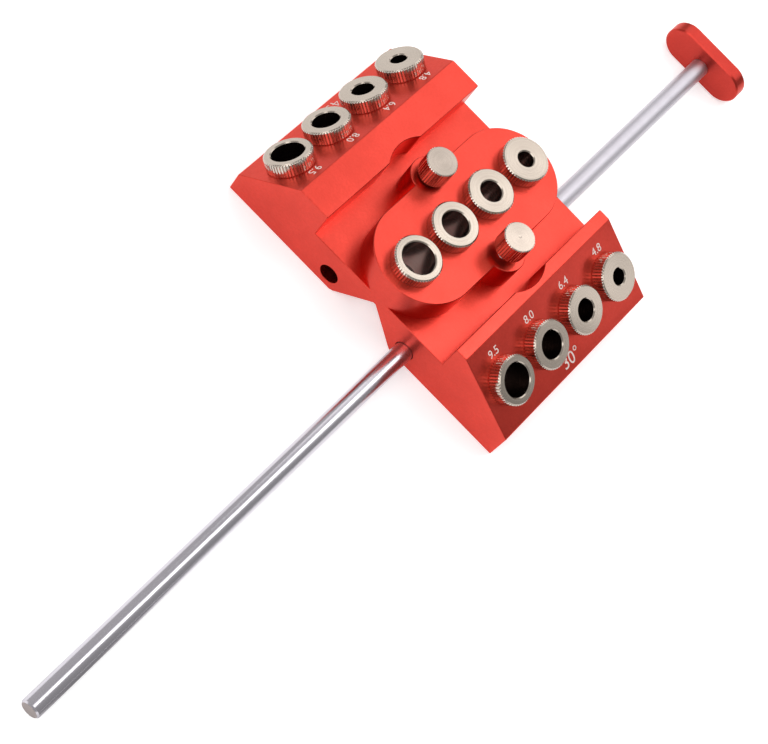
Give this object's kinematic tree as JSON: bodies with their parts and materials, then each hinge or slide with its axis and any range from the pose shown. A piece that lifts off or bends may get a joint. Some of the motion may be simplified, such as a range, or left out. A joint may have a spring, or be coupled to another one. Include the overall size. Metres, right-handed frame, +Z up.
{
  "type": "angle drill guide",
  "caption": "Milled block with knurled drill bushes at 45, 90 and 30 degrees, a V-groove base and a clamped guide rod with an end stop.",
  "frame": {"origin": "middle of the block at its base, on the V-groove's centre plane and level with the surface that it stands on", "axes": "+Z up, square to the base; +Y along the guide rod and the V-groove, towards the stop; +X towards the 30 degree row"},
  "size_m": [0.102, 0.3007, 0.0335],
  "materials": {
    "red_anodised": "bead-blasted and red anodised, satin",
    "satin_nickel": "turned and satin nickel plated",
    "polished_steel": "ground and polished",
    "zinc_steel": "bright zinc plated thread",
    "dark_steel": "black oxide"
  },
  "bodies": {
    "block": {"body_block": "red_anodised", "bush_45_1": "satin_nickel", "bush_45_2": "satin_nickel", "bush_45_3": "satin_nickel", "bush_45_4": "satin_nickel", "bush_90_1": "satin_nickel", "bush_90_2": "satin_nickel", "bush_90_3": "satin_nickel", "bush_90_4": "satin_nickel", "bush_30_1": "satin_nickel", "bush_30_2": "satin_nickel", "bush_30_3": "satin_nickel", "bush_30_4": "satin_nickel"},
    "rod": {"guide_rod": "polished_steel"},
    "stop": {"stop_plate": "red_anodised", "stop_screw": "dark_steel"},
    "clamp_right": {"clamp_stud_right": "zinc_steel"},
    "clamp_right_head": {"clamp_knob_right": "satin_nickel"},
    "clamp_left": {"clamp_stud_left": "zinc_steel"},
    "clamp_left_head": {"clamp_knob_left": "satin_nickel"}
  },
  "joints": [
    {"name": "rod_slide", "type": "slide", "parent": "block", "child": "rod", "axis": [0, 1, 0], "range_m": [-0.0826, 0.165]},
    {"name": "stop_turn", "type": "hinge", "parent": "rod", "child": "stop", "pos_m": [0.0146, 0.1168, 0.0052], "axis": [0, 1, 0], "range_deg": [-180, 180]},
    {"name": "clamp_right_lift", "type": "slide", "parent": "block", "child": "clamp_right", "axis": [0, 0, 1], "range_m": [0, 0.0108]},
    {"name": "clamp_right_turn", "type": "hinge", "parent": "clamp_right", "child": "clamp_right_head", "pos_m": [0.0146, 0, 0.0259], "axis": [0, 0, 1], "range_deg": [0, 4860]},
    {"name": "clamp_left_lift", "type": "slide", "parent": "block", "child": "clamp_left", "axis": [0, 0, 1], "range_m": [-0.0007, 0.0116]},
    {"name": "clamp_left_turn", "type": "hinge", "parent": "clamp_left", "child": "clamp_left_head", "pos_m": [-0.0146, 0, 0.0248], "axis": [0, 0, 1], "range_deg": [-315, 5220]}
  ],
  "couplings": [
    {"joint": "clamp_right_turn", "follows": "clamp_right_lift", "rad_per_m": 7854},
    {"joint": "clamp_left_turn", "follows": "clamp_left_lift", "rad_per_m": 7854}
  ]
}
